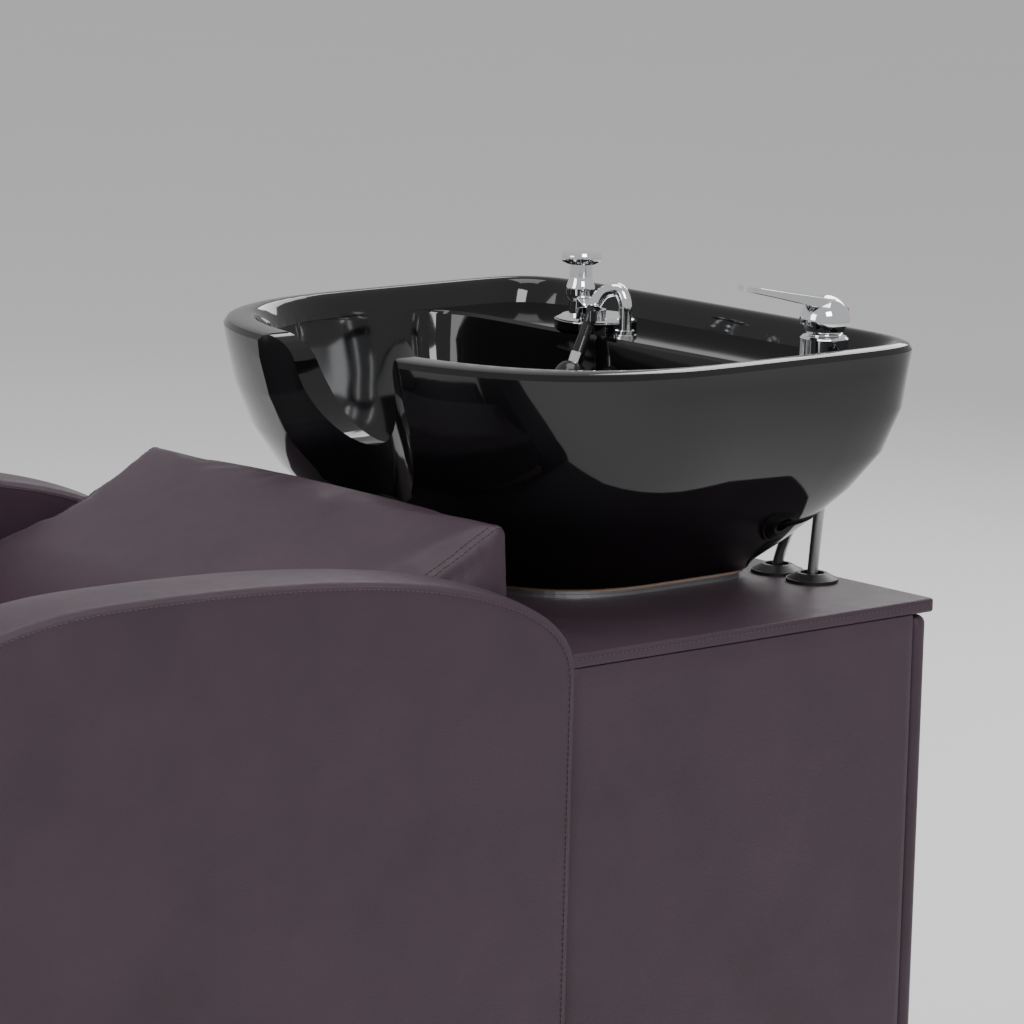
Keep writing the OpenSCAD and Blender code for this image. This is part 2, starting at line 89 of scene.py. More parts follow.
# ---- mesh helpers -------------------------------------------------------------------
def mesh_object(name, verts, faces, mat=None, uvs=None):
    """New smooth-shaded object from plain lists, with one uv per vertex if uvs is given."""
    me = bpy.data.meshes.new(name)
    me.from_pydata([tuple(v) for v in verts], [], [tuple(f) for f in faces])
    me.validate()
    me.polygons.foreach_set("use_smooth", [True] * len(me.polygons))
    if uvs is not None:
        layer = me.uv_layers.new(name="along")
        for loop in me.loops:
            layer.data[loop.index].uv = uvs[loop.vertex_index]
    ob = bpy.data.objects.new(name, me)
    COLL.objects.link(ob)
    if mat:
        me.materials.append(mat)
    return ob


def put(obj, body, hides=()):
    """Rides obj on a body and hides the CAD nodes it stands for."""
    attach(obj, body)
    if hides:
        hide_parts(*hides)
    return obj


def catmull(points, per):
    """The same smooth route through given points as the CAD tube follows."""
    p = [np.array(q, float) for q in points]
    n = len(p) - 1
    out = []
    for i in range(n):
        a, b, c, d = p[max(i - 1, 0)], p[i], p[i + 1], p[min(i + 2, n)]
        for k in range(per):
            t = k / per
            out.append(0.5 * (2 * b + (c - a) * t + (2 * a - 5 * b + 4 * c - d) * t ** 2
                              + (3 * b - a - 3 * c + d) * t ** 3))
    out.append(p[n])
    return np.array(out)


def resample(path, step):
    """(points about step apart along path, its length)."""
    seg = np.linalg.norm(np.diff(path, axis=0), axis=1)
    s = np.concatenate([[0], np.cumsum(seg)])
    count = max(2, int(round(s[-1] / step)) + 1)
    at = np.linspace(0, s[-1], count)
    return np.stack([np.interp(at, s, path[:, i]) for i in range(3)], 1), s[-1]


# direction that the rings of a tube start from, never along a hose's first piece
TUBE_REF = (0.31, 0.95, 0.05)


def tube(name, path, radius, mat, sides, ridge=0.0):
    """Swept tube with uv = (turns round, metres along). ridge deepens every other ring."""
    path = np.asarray(path, float)
    n = len(path)
    tan = np.gradient(path, axis=0)
    tan /= np.linalg.norm(tan, axis=1)[:, None]
    u = np.cross(tan[0], TUBE_REF)
    verts, uvs, run = [], [], 0.0
    for i in range(n):
        u = u - tan[i] * np.dot(u, tan[i])
        u /= np.linalg.norm(u)
        w = np.cross(tan[i], u)
        r = radius * (1 - ridge * (i % 2))
        if i:
            run += np.linalg.norm(path[i] - path[i - 1])
        for k in range(sides):
            a = 2 * math.pi * k / sides
            verts.append(path[i] + r * (math.cos(a) * u + math.sin(a) * w))
            uvs.append((k / sides, run))
    faces = [(j * sides + i, j * sides + (i + 1) % sides, (j + 1) * sides + (i + 1) % sides,
              (j + 1) * sides + i) for j in range(n - 1) for i in range(sides)]
    faces += [tuple(range(sides - 1, -1, -1)), tuple((n - 1) * sides + k for k in range(sides))]
    return mesh_object(name, verts, faces, mat, uvs=uvs)


# ---- materials ----------------------------------------------------------------------
class Mat:
    """A principled material with a few node shortcuts."""

    def __init__(self, name, color, rough, metallic=0.0, **sockets):
        self.m = bpy.data.materials.new(name)
        self.m.use_nodes = True
        self.t = self.m.node_tree
        self.b = self.t.nodes["Principled BSDF"]
        self.b.inputs["Base Color"].default_value = (*color, 1)
        self.b.inputs["Roughness"].default_value = rough
        self.b.inputs["Metallic"].default_value = metallic
        for k, v in sockets.items():
            self.b.inputs[k.replace("_", " ")].default_value = v
        self.co = self.t.nodes.new("ShaderNodeTexCoord").outputs["Object"]
        self.height = None

    def node(self, kind, **inputs):
        n = self.t.nodes.new(kind)
        for k, v in inputs.items():
            key = k.replace("_", " ")
            if isinstance(v, bpy.types.NodeSocket):
                self.t.links.new(v, n.inputs[key])
            else:
                n.inputs[key].default_value = v
        return n

    def noise(self, scale, detail=4.0, rough=0.55, vector=None):
        n = self.node("ShaderNodeTexNoise", Vector=vector or self.co, Scale=scale, Detail=detail,
                      Roughness=rough)
        return n.outputs["Fac"]

    def ramp(self, fac, stops):
        n = self.t.nodes.new("ShaderNodeValToRGB")
        self.t.links.new(fac, n.inputs["Fac"])
        while len(n.color_ramp.elements) < len(stops):
            n.color_ramp.elements.new(0.5)
        for el, (pos, col) in zip(n.color_ramp.elements, stops):
            el.position = pos
            el.color = (*col, 1) if not isinstance(col, (int, float)) else (col, col, col, 1)
        return n.outputs["Color"]

    def color(self, out):
        self.t.links.new(out, self.b.inputs["Base Color"])

    def roughness(self, fac, low, high):
        n = self.node("ShaderNodeMapRange", Value=fac, To_Min=low, To_Max=high)
        self.t.links.new(n.outputs["Result"], self.b.inputs["Roughness"])

    def bump(self, height, strength, distance):
        n = self.node("ShaderNodeBump", Height=height, Strength=strength, Distance=distance)
        if self.height is not None:
            self.t.links.new(self.height, n.inputs["Normal"])
        self.height = n.outputs["Normal"]
        self.t.links.new(self.height, self.b.inputs["Normal"])


def leather_material(name, base):
    """Soft mottled leather: fine cell grain, finer noise over it, and slow unevenness."""
    m = Mat(name, base, 0.45, Specular_IOR_Level=0.36, Sheen_Weight=0.03, Sheen_Roughness=0.4)
    dark = tuple(c * 0.86 for c in base)
    light = tuple(min(1, c * 1.12) for c in base)
    m.color(m.ramp(m.noise(9.0, 3.0), [(0.32, dark), (0.68, light)]))
    cells = m.node("ShaderNodeTexVoronoi", Vector=m.co, Scale=620.0)
    cells.feature = "DISTANCE_TO_EDGE"
    grain = m.ramp(cells.outputs["Distance"], [(0.0, 0.0), (0.16, 1.0)])
    m.bump(grain, 0.30, 0.0004)
    m.bump(m.noise(1500.0, 2.0), 0.12, 0.0003)
    m.bump(m.noise(14.0, 2.0), 0.10, 0.004)
    m.roughness(m.noise(40.0, 3.0), 0.40, 0.54)
    return m.m


LEATHER = (0.041, 0.0215, 0.034)
MAT_LEATHER = leather_material("brown_leather", LEATHER)
MAT_SEAT = leather_material("brown_leather_seat", LEATHER)


def thread_material():
    m = Mat("brown_thread", (0.030, 0.018, 0.020), 0.7, Sheen_Weight=0.2)
    m.bump(m.noise(3000.0, 2.0), 0.5, 0.0002)
    return m.m


MAT_THREAD = thread_material()


def glaze_material():
    m = Mat("black_glaze", (0.0035, 0.0035, 0.0042), 0.06, Specular_IOR_Level=0.5)
    dark, light = (0.003, 0.003, 0.0036), (0.0045, 0.0045, 0.0052)
    m.color(m.ramp(m.noise(6.0, 2.0), [(0.3, dark), (0.7, light)]))
    m.bump(m.noise(5.0, 1.0), 0.05, 0.01)
    m.roughness(m.noise(30.0), 0.045, 0.08)
    return m.m


def chrome_material(name="chrome_plate", rough=0.05, tint=(0.82, 0.83, 0.85)):
    m = Mat(name, tint, rough, 1.0)
    m.color(m.ramp(m.noise(18.0, 2.0), [(0.3, tuple(c * 0.97 for c in tint)), (0.7, tint)]))
    m.roughness(m.noise(60.0), rough * 0.7, rough * 1.6)
    return m.m


def brushed_material():
    m = Mat("brushed_steel_plate", (0.52, 0.52, 0.53), 0.34, 1.0)
    long = m.node("ShaderNodeMapping", Vector=m.co)
    long.inputs["Scale"].default_value = (40, 1400, 1400)
    streak = m.noise(1.0, 3.0, vector=long.outputs["Vector"])
    m.color(m.ramp(streak, [(0.3, (0.46, 0.46, 0.47)), (0.7, (0.58, 0.58, 0.59))]))
    m.roughness(streak, 0.26, 0.44)
    m.bump(streak, 0.08, 0.0002)
    return m.m


def plastic_material(name, color, rough, grain=900.0):
    m = Mat(name, color, rough)
    dark = tuple(c * 0.85 for c in color)
    m.color(m.ramp(m.noise(20.0), [(0.3, dark), (0.7, color)]))
    m.roughness(m.noise(90.0), rough * 0.85, rough * 1.2)
    m.bump(m.noise(grain, 2.0), 0.06, 0.0002)
    return m.m


def wood_material(name, light, dark, ply=False):
    m = Mat(name, light, 0.6)
    stretch = m.node("ShaderNodeMapping", Vector=m.co)
    stretch.inputs["Scale"].default_value = (26, 2.2, 26) if not ply else (6, 6, 640)
    grain = m.noise(1.6, 6.0, 0.6, stretch.outputs["Vector"])
    m.color(m.ramp(grain, [(0.34, dark), (0.66, light)]))
    m.roughness(grain, 0.5, 0.7)
    m.bump(grain, 0.15, 0.0006)
    return m.m


def braid_material():
    """Stainless braid: two sets of crossing helical strands from the tube's own uv."""
    turns, per_metre = 12.0, 420.0
    m = Mat("steel_braid", (0.55, 0.55, 0.57), 0.28, 1.0)
    uv = m.t.nodes.new("ShaderNodeTexCoord").outputs["UV"]
    part = m.node("ShaderNodeSeparateXYZ", Vector=uv)

    def strand(sign):
        a = m.node("ShaderNodeMath", Value=part.outputs["Y"])
        a.operation = "MULTIPLY"
        a.inputs[1].default_value = per_metre * sign
        b = m.t.nodes.new("ShaderNodeMath")
        b.operation = "MULTIPLY_ADD"
        m.t.links.new(part.outputs["X"], b.inputs[0])
        b.inputs[1].default_value = turns
        m.t.links.new(a.outputs[0], b.inputs[2])
        c = m.t.nodes.new("ShaderNodeMath")
        c.operation = "PINGPONG"
        m.t.links.new(b.outputs[0], c.inputs[0])
        c.inputs[1].default_value = 0.5
        return c.outputs[0]

    top = m.t.nodes.new("ShaderNodeMath")
    top.operation = "MAXIMUM"
    m.t.links.new(strand(1), top.inputs[0])
    m.t.links.new(strand(-1), top.inputs[1])
    m.color(m.ramp(top.outputs[0], [(0.1, (0.10, 0.10, 0.11)), (0.45, (0.66, 0.66, 0.68))]))
    m.bump(top.outputs[0], 0.6, 0.0006)
    return m.m


MATS = {
    "leather": MAT_LEATHER,
    "seat_leather": MAT_SEAT,
    "plywood": wood_material("plywood_board", (0.50, 0.35, 0.20), (0.36, 0.24, 0.13), True),
    "hardwood": wood_material("hardwood_rail", (0.42, 0.25, 0.13), (0.28, 0.16, 0.08)),
    "glazed_ceramic": glaze_material(),
    "chrome": chrome_material(),
    "steel": brushed_material(),
    "braid": braid_material(),
    "black_rubber": plastic_material("black_rubber_part", (0.012, 0.012, 0.013), 0.42, 500.0),
    "black_plastic": plastic_material("black_gloss_plastic", (0.010, 0.010, 0.011), 0.16),
    "grey_plastic": plastic_material("grey_matt_plastic", (0.20, 0.20, 0.21), 0.5),
    "red_plastic": plastic_material("red_mark_plastic", (0.35, 0.02, 0.03), 0.3),
    # the foot gasket's cream colour is painted light: it stands in for the bright line of light seen
    # through the gap under the basin's foot
    "gasket": plastic_material("gasket_painted_light_line", (0.42, 0.27, 0.19), 0.5, 300.0),
}
SLOT_OF = {s["node"]: s["material_slot"] for s in frame["record"]["subparts"]}
for name, obj in nodes.items():
    obj.data.materials.clear()
    obj.data.materials.append(MATS[SLOT_OF[name]])



def soften(ob, limit):
    """Shades faces that meet at less than limit radians as one surface; no vertex moves."""
    me = ob.data
    co = np.zeros(len(me.vertices) * 3)
    me.vertices.foreach_get("co", co)
    _, group = np.unique(np.round(co.reshape(-1, 3) / 1e-5).astype(np.int64), axis=0,
                         return_inverse=True)
    group = group.ravel()
    face_n = np.array([p.normal for p in me.polygons])
    area = np.array([p.area for p in me.polygons])
    face = np.concatenate([[p.index] * p.loop_total for p in me.polygons])
    corner = np.zeros(len(me.loops), int)
    me.loops.foreach_get("vertex_index", corner)
    order = np.argsort(group[corner], kind="stable")
    cuts = np.flatnonzero(np.diff(group[corner][order])) + 1
    normals = np.zeros((len(me.loops), 3))
    for run in np.split(order, cuts):
        n, w = face_n[face[run]], area[face[run]]
        mix = ((n @ n.T) > math.cos(limit)) * w @ n
        normals[run] = mix / np.maximum(np.linalg.norm(mix, axis=1), 1e-12)[:, None]
    me.polygons.foreach_set("use_smooth", [True] * len(me.polygons))
    me.normals_split_custom_set(normals.tolist())


SHARP_ANGLE = math.radians(32)
for name in ("basin", "mixer_lever", "foot_gasket", "handset_head", "column_body", "column_cap"):
    soften(nodes[name], SHARP_ANGLE)

# ---- hoses --------------------------------------------------------------------------
HOT = [(214.5, 550, 816), (212, 551, 770), (204, 553, 715), (197, 554, 650), (197, 549, 560),
       (197, 548, 320)]
COLD = [(201.5, 550, 816), (196, 551, 770), (175, 554, 710), (147, 558, 650), (144, 550, 560),
        (144, 548, 320)]
SHOWER = [(-40, 492.4, 872.2), (-40, 494.4, 876.6), (-36, 501, 886), (-26, 510, 889), (-19, 512, 878),
          (-18, 512, 860), (-18, 512, 820), (-20, 511, 780), (-26, 500, 735), (-30, 484, 690),
          (-30, 478, 640), (-30, 478, 520), (-22, 478, 420), (12, 478, 370), (47, 478, 420),
          (55, 478, 520), (55, 478, 640), (56, 484, 690), (60, 502, 735), (85, 524, 765),
          (130, 534, 772), (175, 538, 772), (202, 540, 782), (208, 540, 800), (208, 540, 816)]
SUPPLY_R, HOSE_R = 0.005, 0.0065
MM = 0.001
RIB = 0.0011


def supply(kind, points):
    """A braided hose from the mixer's nut down to its own supply nut."""
    path, _ = resample(catmull(points, 12) * MM, 0.004)
    hose = tube(f"{kind}_braided_hose", path, SUPPLY_R, MATS["braid"], 20)
    put(hose, "bowl", [f"{kind}_supply_hose"])


supply("hot", HOT)
supply("cold", COLD)

shower_path, _ = resample(catmull(SHOWER, 16) * MM, RIB)
shower = tube("metal_shower_hose", shower_path, HOSE_R, MATS["chrome"], 18, ridge=0.09)
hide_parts("shower_hose")
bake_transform(shower)


# ---- upholstery ---------------------------------------------------------------------
def spaced(n, tight):
    """Values from -1 to 1, closer together near both ends."""
    t = np.linspace(-1, 1, n)
    return (1 - tight) * t + tight * np.sin(t * math.pi / 2)


# how flat a padded face stays before it falls to its edges
SWELL_FALL = 0.4


def soft_box(name, lo, hi, radius, crown, n):
    """Rounded box whose faces (-x, +x, -y, +y, -z, +z) swell by crown metres."""
    lo, hi = np.array(lo, float), np.array(hi, float)
    mid, half = (lo + hi) / 2, (hi - lo) / 2
    t = spaced(n, 0.9)
    index, verts, faces = {}, [], []

    def vertex(p):
        key = tuple(np.round(p, 6))
        if key not in index:
            index[key] = len(verts)
            q = p * half
            inner = np.clip(q, -(half - radius), half - radius)
            away = q - inner
            size = np.linalg.norm(away)
            out = inner + (away / size * radius if size > 1e-9 else away)
            for ax in range(3):
                for side, c in ((-1, crown[2 * ax]), (1, crown[2 * ax + 1])):
                    if c and p[ax] == side:
                        a, b = [k for k in range(3) if k != ax]
                        out[ax] += side * c * ((1 - p[a] ** 2) * (1 - p[b] ** 2)) ** SWELL_FALL
            verts.append(mid + out)
        return index[key]

    for ax in range(3):
        a, b = [(1, 2), (2, 0), (0, 1)][ax]
        for side in (-1.0, 1.0):
            for i in range(n - 1):
                for j in range(n - 1):
                    quad = []
                    for di, dj in ((0, 0), (1, 0), (1, 1), (0, 1)):
                        p = np.zeros(3)
                        p[ax], p[a], p[b] = side, t[i + di], t[j + dj]
                        quad.append(vertex(p))
                    faces.append(quad if side > 0 else quad[::-1])
    return mesh_object(name, verts, faces, MAT_LEATHER)


def slab_from_loop(name, loop, x0, x1, edge, crown, mat, band_crown=0.0):
    """Upholstered slab whose outline in (y, z) is loop, between x0 and x1: rounded edges,
    crowned side panels, and a band between them that may swell outwards."""
    loop = np.array(loop, float)
    m = len(loop)
    nxt, prv = np.roll(loop, -1, 0), np.roll(loop, 1, 0)
    tan = nxt - prv
    tan /= np.linalg.norm(tan, axis=1)[:, None]
    out = np.stack([tan[:, 1], -tan[:, 0]], 1)
    centre = loop.mean(0)
    if np.mean(np.sum(out * (loop - centre), 1)) < 0:
        out = -out
    half, mid = (x1 - x0) / 2, (x0 + x1) / 2
    rings = []

    def ring(offset, x, shrink=0.0):
        flat = loop + out * offset
        flat = centre + (flat - centre) * (1 - shrink)
        rings.append(np.column_stack([np.full(m, mid + x), flat]))

    # rings that close each side panel, closer together near its edge
    shrinks = [0.97, 0.85, 0.7, 0.55, 0.4, 0.28, 0.18, 0.11, 0.06, 0.03]
    for s in shrinks:
        ring(-edge, -half - crown * (1 - (1 - s) ** 6), s)
    for a in np.linspace(90, 0, 7):
        r = math.radians(a)
        ring(-edge + edge * math.cos(r), -half + edge - edge * math.sin(r))
    for t in np.linspace(-1, 1, 15)[1:-1]:
        ring(band_crown * (1 - t * t), t * (half - edge))
    for a in np.linspace(0, 90, 7):
        r = math.radians(a)
        ring(-edge + edge * math.cos(r), half - edge + edge * math.sin(r))
    for s in shrinks[::-1]:
        ring(-edge, half + crown * (1 - (1 - s) ** 6), s)
    verts = np.concatenate(rings)
    faces = [(j * m + i, j * m + (i + 1) % m, (j + 1) * m + (i + 1) % m, (j + 1) * m + i)
             for j in range(len(rings) - 1) for i in range(m)]
    faces += [tuple(range(m - 1, -1, -1)), tuple((len(rings) - 1) * m + k for k in range(m))]
    ob = mesh_object(name, verts, faces, mat)
    fix_normals(ob)
    return ob


def fix_normals(ob):
    """Turns every face outwards."""
    bm = bmesh.new()
    bm.from_mesh(ob.data)
    bmesh.ops.recalc_face_normals(bm, faces=bm.faces)
    bm.to_mesh(ob.data)
    bm.free()


LAST_FRAME = 20


def swell(ob, voxel, pressure, cap):
    """Inflates a closed mesh with Cloth, caps how far a point moves, and applies
    it."""
    for o in bpy.context.selected_objects:
        o.select_set(False)
    bpy.context.view_layer.objects.active = ob
    ob.select_set(True)
    mod = ob.modifiers.new("remesh", "REMESH")
    mod.mode, mod.voxel_size, mod.use_smooth_shade = "VOXEL", voxel, True
    bpy.ops.object.modifier_apply(modifier=mod.name)
    before = np.zeros(len(ob.data.vertices) * 3)
    ob.data.vertices.foreach_get("co", before)
    before = before.reshape(-1, 3)
    cloth = ob.modifiers.new("cloth", "CLOTH")
    s = cloth.settings
    s.use_pressure, s.uniform_pressure_force = True, pressure
    s.quality, s.mass = 5, 0.3
    s.tension_stiffness = s.compression_stiffness = 25
    s.shear_stiffness, s.bending_stiffness = 12, 4
    s.effector_weights.gravity = 0
    cloth.point_cache.frame_end = LAST_FRAME
    for f in range(1, LAST_FRAME + 1):
        bpy.context.scene.frame_set(f)
    shot = ob.evaluated_get(bpy.context.evaluated_depsgraph_get())
    after = np.zeros(len(before) * 3)
    shot.data.vertices.foreach_get("co", after)
    after = after.reshape(-1, 3)
    ob.modifiers.remove(cloth)
    bpy.context.scene.frame_set(1)
    move = after - before
    size = np.linalg.norm(move, axis=1)[:, None]
    move = np.where(size > cap, move * cap / np.maximum(size, 1e-9), move)
    ob.data.vertices.foreach_set("co", (before + move).ravel())
    sub = ob.modifiers.new("subdivision", "SUBSURF")
    sub.levels = sub.render_levels = 1
    bpy.ops.object.modifier_apply(modifier=sub.name)
    ob.data.polygons.foreach_set("use_smooth", [True] * len(ob.data.polygons))
    ob.data.update()
    return ob


def press_seam(ob, path, depth, width):
    """Draws the surface in along a seam."""
    fine, _ = resample(np.asarray(path), 0.003)
    kd = KDTree(len(fine))
    for i, p in enumerate(fine):
        kd.insert(p, i)
    kd.balance()
    for v in ob.data.vertices:
        _, _, d = kd.find(v.co)
        if d < width:
            v.co -= v.normal * depth * (1 - d / width) ** 2
    ob.data.update()


def stitches(name, ob, path, body, pitch=0.0052, thick=0.0005):
    """Thread stitches lying on the surface of ob along path."""
    me = ob.data
    tree = BVHTree.FromPolygons([v.co for v in me.vertices], [p.vertices for p in me.polygons])
    pts, _ = resample(np.asarray(path), pitch)
    verts, faces = [], []
    prof = [(-0.42, 0.15), (-0.30, 0.8), (0, 1.0), (0.30, 0.8), (0.42, 0.15)]
    for i in range(len(pts) - 1):
        a, b = Vector(pts[i]), Vector(pts[i + 1])
        at, normal, _, _ = tree.find_nearest((a + b) / 2)
        if at is None:
            continue
        along = b - a
        along -= normal * along.dot(normal)
        if along.length < 1e-6:
            continue
        along.normalize()
        side = normal.cross(along)
        base = len(verts)
        for s, h in prof:
            mid = at + along * s * pitch + normal * thick * (0.9 * h - 0.35)
            for k in range(6):
                q = 2 * math.pi * k / 6
                spoke = side * math.cos(q) + normal * math.sin(q)
                verts.append(mid + spoke * thick * (0.35 + 0.65 * h))
        for j in range(len(prof) - 1):
            for k in range(6):
                faces.append((base + j * 6 + k, base + j * 6 + (k + 1) % 6,
                              base + (j + 1) * 6 + (k + 1) % 6, base + (j + 1) * 6 + k))
        faces.append(tuple(base + k for k in range(5, -1, -1)))
        faces.append(tuple(base + (len(prof) - 1) * 6 + k for k in range(6)))
    thread = mesh_object(name, verts, faces, MAT_THREAD)
    put(thread, body)
    return thread


# armrests: two superellipse quarters that meet at the crest, as in the CAD
ARM_CREST = -0.330
ARM_SQUARE = 2.4
ARM_REAR_DROP, ARM_FRONT_DROP = 0.120, 0.230


def arm_outline(n=64):
    """The armrest's side outline in (y, z)."""
    lo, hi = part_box("right_armrest")
    y0, back, front, top, base = ARM_CREST, hi[1], lo[1], hi[2], lo[2]
    e = 2 / ARM_SQUARE
    rear, fore = ARM_REAR_DROP, ARM_FRONT_DROP
    pts = []
    for a in np.linspace(0, 90, n):
        r = math.radians(a)
        pts.append((y0 + (back - y0) * math.cos(r) ** e, top - rear + rear * math.sin(r) ** e))
    for a in np.linspace(90, 0, n)[1:]:
        r = math.radians(a)
        pts.append((y0 - (y0 - front) * math.cos(r) ** e, top - fore + fore * math.sin(r) ** e))

    def down(p, q, k):
        return [(p[0] + (q[0] - p[0]) * i / k, p[1] + (q[1] - p[1]) * i / k) for i in range(1, k)]

    corner = (front + 0.012, base)
    pts += down(pts[-1], corner, 40) + [corner] + down(corner, (back, base), 40) + [(back, base)]
    pts += down((back, base), pts[0], 40)
    return pts


OUTLINE = arm_outline()
for side, node in ((1, "right_armrest"), (-1, "left_armrest")):
    lo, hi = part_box(node)
    arm = slab_from_loop(f"{node}_upholstery", OUTLINE, lo[0], hi[0], 0.007, 0.0025,
                         MAT_LEATHER, 0.003)
    outer = hi[0] if side > 0 else lo[0]
    inner = lo[0] if side > 0 else hi[0]
    loop = np.array(OUTLINE + OUTLINE[:1])
    centre = np.array(OUTLINE).mean(0)
    for tag, x, way in (("outer", outer, 1), ("inner", inner, -1)):
        seam_x = x - way * side * 0.0015
        seam = np.column_stack([np.full(len(loop), seam_x), loop + (centre - loop) * 0.008])
        press_seam(arm, seam, 0.0016, 0.006)
        row = np.column_stack([np.full(len(loop), x), loop + (centre - loop) * 0.022])
        stitches(f"{node}_{tag}_stitches", arm, row, "frame")
    put(arm, "frame", [node])


# cabinet: wrapped boards with rounded edges
def panel(node, name, radius, crown, body):
    lo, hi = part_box(node)
    ob = soft_box(name, lo, hi, radius, crown, 41)
    return put(ob, body, [node])


# how far a side panel's padding rises, and how near its flat inner face that begins
PUFF = 0.002
BACK_FACE = 0.009


def upright(node, corner, sign):
    """Side panel cover: the outer front corner is rounded and the other edges are crisp."""
    lo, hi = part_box(node)
    x_in, x_out = (lo[0], hi[0]) if sign > 0 else (hi[0], lo[0])
    small = 0.002
    spec = [(x_out, lo[1], corner), (x_out, hi[1], 0.004), (x_in, hi[1], small),
            (x_in, lo[1], small)]
    mid = ((x_in + x_out) / 2, (lo[1] + hi[1]) / 2)
    loop = []
    for k, (x, y, r) in enumerate(spec):
        cx = x + (r if x < mid[0] else -r)
        cy = y + (r if y < mid[1] else -r)
        start = math.degrees(math.atan2(y - cy, x - cx)) - 45 * sign
        for a in range(9):
            q = math.radians(start + sign * 90 * a / 8)
            loop.append((cx + r * math.cos(q), cy + r * math.sin(q)))
    fine, _ = resample(np.array([(x, y, 0) for x, y in loop + loop[:1]]), 0.006)
    ring = fine[:-1]
    levels = [(lo[2], 0.002), (lo[2] + 0.0015, 0.0)] + [(z, 0.0) for z in np.linspace(
        lo[2] + 0.02, hi[2] - 0.02, 60)] + [(hi[2] - 0.0006, 0.0), (hi[2], 0.0006)]
    centre = np.array([*mid, 0])
    verts = []
    for z, inset in levels:
        for p in ring:
            q = p + (centre - p) / np.linalg.norm(centre - p) * inset
            u = (p[1] - lo[1]) / (hi[1] - lo[1]) * 2 - 1
            w = (z - lo[2]) / (hi[2] - lo[2]) * 2 - 1
            rise = PUFF * max(0.0, (1 - u * u) * (1 - w * w)) ** SWELL_FALL
            puff = rise if abs(p[0] - x_in) > BACK_FACE else 0
            verts.append((q[0] + sign * puff, q[1], z))
    m = len(ring)
    faces = [(j * m + i, j * m + (i + 1) % m, (j + 1) * m + (i + 1) % m, (j + 1) * m + i)
             for j in range(len(levels) - 1) for i in range(m)]
    faces += [tuple(range(m - 1, -1, -1)), tuple((len(levels) - 1) * m + k for k in range(m))]
    ob = mesh_object(f"{node}_cover", verts, faces, MAT_LEATHER)
    fix_normals(ob)
    return put(ob, "frame", [node])


for sign, side in ((1, "right"), (-1, "left")):
    upright(f"cabinet_{side}_panel", 0.013, sign)
panel("service_door", "service_door_cover", 0.0085, (0, 0, 0, 0.002, 0, 0), "door")
panel("seat_front_apron", "seat_apron_cover", 0.006, (0, 0, 0.003, 0, 0, 0), "frame")


def cut(ob, cutters):
    """Boolean difference with closed meshes, applied."""
    bpy.context.view_layer.objects.active = ob
    for c in cutters:
        mod = ob.modifiers.new("cut", "BOOLEAN")
        mod.operation, mod.object, mod.solver = "DIFFERENCE", c, "EXACT"
        bpy.ops.object.modifier_apply(modifier=mod.name)
        bpy.data.objects.remove(c)


def cylinder(x, y, z0, z1, r, sides=48):
    """Closed upright cylinder to cut with."""
    turn = [2 * math.pi * k / sides for k in range(sides)]
    ring = [(x + r * math.cos(q), y + r * math.sin(q)) for q in turn]
    verts = [(*p, z0) for p in ring] + [(*p, z1) for p in ring]
    faces = [tuple(range(sides - 1, -1, -1)), tuple(range(sides, 2 * sides))]
    faces += [(k, (k + 1) % sides, sides + (k + 1) % sides, sides + k) for k in range(sides)]
    return mesh_object("cutter", verts, faces)


def leather_top():
    """The top board's cover, open where the waste, the hose loop and the grommets pass."""
    lo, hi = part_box("cabinet_top_board")
    ob = soft_box("cabinet_top_cover", lo, hi, 0.003, (0,) * 6, 61)
    a, b = lo[2] - 0.01, hi[2] + 0.01
    cut(ob, [cylinder(0, 0.338, a, b, 0.052), cylinder(-0.030, 0.478, a, b, 0.0241),
             cylinder(0.055, 0.478, a, b, 0.0239), cylinder(0.0125, 0.478, a, b, 0.0305),
             cylinder(0.197, 0.554, a, b, 0.015), cylinder(0.147, 0.558, a, b, 0.015)])
    ob.data.polygons.foreach_set("use_smooth", [True] * len(ob.data.polygons))
    return put(ob, "frame", ["cabinet_top_board"])


top_cover = leather_top()
lo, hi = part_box("cabinet_top_board")
STITCH_DROP = 0.0048
for s in (-1, 1):
    x = hi[0] * s
    z = hi[2] - STITCH_DROP
    row = [(x, lo[1] + 0.012, z), (x, hi[1] - 0.004, z)]
    stitches(f"cabinet_top_stitches_{'r' if s > 0 else 'l'}", top_cover, row, "frame")


# seat and backrest
def seat_outline():
    """The seat's side outline, b inside the CAD cushion for the room it swells into."""
    lo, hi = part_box("seat_cushion")
    b = 0.012
    pts = []
    corners = [(lo[1] + b, lo[2] + b, 0.03), (hi[1] - b, lo[2] + b, 0.012),
               (hi[1] - b, hi[2] - b, 0.022), (lo[1] + b, hi[2] - b, 0.034)]
    for i, (y, z, r) in enumerate(corners):
        cy = y + (r if i in (0, 3) else -r)
        cz = z + (r if i in (0, 1) else -r)
        for k in range(9):
            a = math.radians([180, 270, 0, 90][i] + 90 * k / 8)
            pts.append((cy + r * math.cos(a), cz + r * math.sin(a)))
    return densify(pts, 0.012)


def densify(pts, step):
    """The closed loop pts with points about step apart."""
    ring = np.array([(0, *p) for p in pts] + [(0, *pts[0])])
    fine, _ = resample(ring, step)
    return [tuple(p[1:]) for p in fine[:-1]]


def offset_loop(pts, d):
    """The loop moved outwards by d."""
    loop = np.array(pts)
    tan = np.roll(loop, -1, 0) - np.roll(loop, 1, 0)
    tan /= np.linalg.norm(tan, axis=1)[:, None]
    out = np.stack([tan[:, 1], -tan[:, 0]], 1)
    if np.mean(np.sum(out * (loop - loop.mean(0)), 1)) < 0:
        out = -out
    return [tuple(p) for p in loop + out * d]


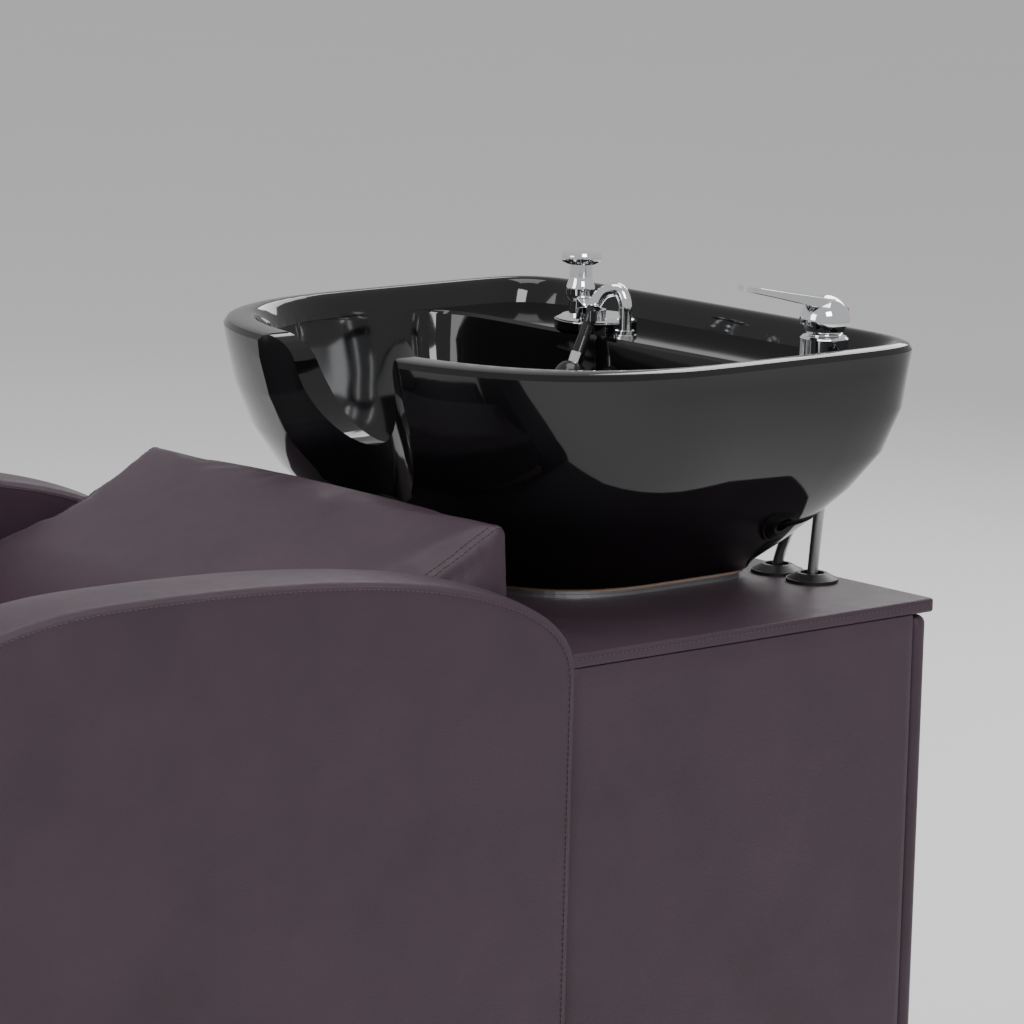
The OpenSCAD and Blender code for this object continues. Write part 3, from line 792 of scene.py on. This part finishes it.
lo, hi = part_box("seat_cushion")
seat = slab_from_loop("seat_cushion_cover", seat_outline(), lo[0] + 0.010, hi[0] - 0.010, 0.014,
                      0.0, MAT_SEAT, 0.004)
swell(seat, 0.006, 4.0, 0.010)
for s in (-1, 1):
    loop = offset_loop(seat_outline(), 0.004)
    x = s * (hi[0] - 0.012)
    seam = np.array([(x, *p) for p in loop + loop[:1]])
    press_seam(seat, seam, 0.002, 0.008)
    row = np.array([(s * (hi[0] - 0.022), *p) for p in offset_loop(seat_outline(), 0.008)])
    stitches(f"seat_stitches_{'r' if s > 0 else 'l'}", seat, row, "frame")
put(seat, "frame", ["seat_cushion"])


BACK_ANGLE = 22.5
BACK_TOP = (0.138, 0.750)
BACK_UPPER = 0.190
BACK_FOOT = (-0.150, 0.454)


def back_outline():
    """The backrest's side outline in (y, z), as in the CAD."""
    ang = math.radians(BACK_ANGLE)
    top = np.array(BACK_TOP)
    knee = top - BACK_UPPER * np.array((math.cos(ang), math.sin(ang)))
    foot = np.array(BACK_FOOT)
    ctrl = [knee, knee + (-0.062, -0.026), foot + (-0.008, 0.110), foot]
    pts = [(0.149, 0.680), (0.149, 0.738), (0.1475, 0.745), (0.144, 0.749), tuple(top)]
    pts += [tuple(top + (knee - top) * t) for t in np.linspace(0, 1, 12)[1:-1]]
    for t in np.linspace(0, 1, 16):
        a = 1 - t
        pts.append(tuple(a ** 3 * ctrl[0] + 3 * a * a * t * ctrl[1] + 3 * a * t * t * ctrl[2]
                         + t ** 3 * ctrl[3]))
    pts += [(-0.032, 0.454), (0.0, 0.546)]
    return densify(pts, 0.010)


BACK = back_outline()
lo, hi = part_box("backrest_cushion")
inset = offset_loop(BACK, -0.003)
backrest = slab_from_loop("backrest_cushion_cover", inset, lo[0] + 0.001, hi[0] - 0.001, 0.008,
                          0.0, MAT_SEAT, 0.008)
swell(backrest, 0.006, 4.0, 0.008)
for s in (-1, 1):
    tag = "r" if s > 0 else "l"
    edge_line = np.array([(s * (hi[0] - 0.003), *p) for p in offset_loop(BACK, -0.003)])
    press_seam(backrest, edge_line, 0.002, 0.007)
    for k, inward in enumerate((0.009, 0.016)):
        row = np.array([(s * (hi[0] - inward), *p) for p in BACK])
        stitches(f"backrest_stitches_{tag}{k}", backrest, row, "frame")
put(backrest, "frame", ["backrest_cushion"])


# ---- stage and light ----------------------------------------------------------------
def stage():
    m = Mat("pale_floor", (0.86, 0.86, 0.86), 0.9)
    m.color(m.ramp(m.noise(2.0), [(0.3, (0.855, 0.855, 0.855)), (0.7, (0.865, 0.865, 0.865))]))
    size = 14.0
    corners = [(-size, -size, 0), (size, -size, 0), (size, size, 0), (-size, size, 0)]
    floor = mesh_object("floor", corners, [(0, 1, 2, 3)], m.m)


def area(name, at, look, size, power, size_y=None):
    """Area light at a place, turned to look at another."""
    data = bpy.data.lights.new(name, "AREA")
    data.energy, data.size = power, size
    if size_y:
        data.shape, data.size_y = "RECTANGLE", size_y
    ob = bpy.data.objects.new(name, data)
    COLL.objects.link(ob)
    ob.location = at
    ob.rotation_mode = "QUATERNION"
    ob.rotation_quaternion = (Vector(look) - Vector(at)).to_track_quat("-Z", "Y")


stage()
area("key_light", (3.4, -0.9, 3.4), (0, 0.1, 0.6), 1.8, 95, 1.4)
area("fill_light", (-0.8, -4.2, 2.2), (0, 0, 0.6), 2.2, 60)
area("rear_light", (-1.5, 3.6, 2.8), (0, 0.3, 0.8), 2.0, 60)
area("top_light", (0.2, 0.4, 4.2), (0, 0.2, 0.5), 2.4, 60)
world = bpy.data.worlds.new("studio")
bpy.context.scene.world = world
world.use_nodes = True
background = world.node_tree.nodes["Background"]
background.inputs["Color"].default_value = (1, 1, 1, 1)
background.inputs["Strength"].default_value = 0.55
